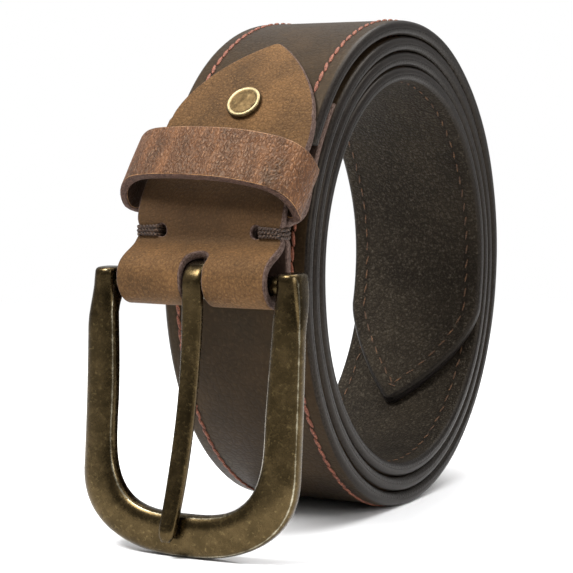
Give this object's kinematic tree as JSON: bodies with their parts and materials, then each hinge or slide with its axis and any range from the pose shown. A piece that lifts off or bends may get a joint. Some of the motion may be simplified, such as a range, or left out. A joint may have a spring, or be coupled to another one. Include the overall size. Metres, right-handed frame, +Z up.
{
  "type": "leather belt",
  "caption": "Stitched leather belt rolled into a standing coil, with a folded and riveted buckle tab, a leather keeper, a cast frame buckle and a hinged prong",
  "frame": {"origin": "on the floor, under the middle of the standing belt's outer box", "axes": "+X across the strap's width, -Y toward the buckle, +Z up"},
  "size_m": [0.0548, 0.1428, 0.121],
  "materials": {
    "strap_leather": "dark brown oiled leather, softly shining",
    "lining_leather": "dark brown-grey pebbled lining leather",
    "face_thread": "reddish-brown waxed thread",
    "lining_thread": "thin brown thread",
    "tab_leather": "matte brown speckled leather with raw edges",
    "keeper_leather": "reddish tan wrinkled leather",
    "lacing_cord": "dark brown braided cord",
    "rivet_brass": "aged brass",
    "buckle_brass": "antiqued brass with worn bright edges",
    "staple_wire": "plain steel wire"
  },
  "bodies": {
    "belt": {"strap_face": "strap_leather", "strap_lining": "lining_leather", "face_thread": "face_thread", "lining_thread": "lining_thread", "buckle_tab": "tab_leather", "rivet_cap": "rivet_brass", "rivet_base": "rivet_brass", "lacing_left": "lacing_cord", "lacing_right": "lacing_cord", "keeper": "keeper_leather", "keeper_staple": "staple_wire"},
    "buckle": {"buckle_frame": "buckle_brass"},
    "tongue": {"prong": "buckle_brass"}
  },
  "joints": [
    {"name": "frame_swing", "type": "hinge", "parent": "belt", "child": "buckle", "pos_m": [0, -0.05825, 0.0598], "axis": [-1, 0, 0], "range_deg": [0, 40]},
    {"name": "prong_swing", "type": "hinge", "parent": "buckle", "child": "tongue", "pos_m": [0, -0.05825, 0.0598], "axis": [-1, 0, 0], "range_deg": [0, 60]}
  ]
}
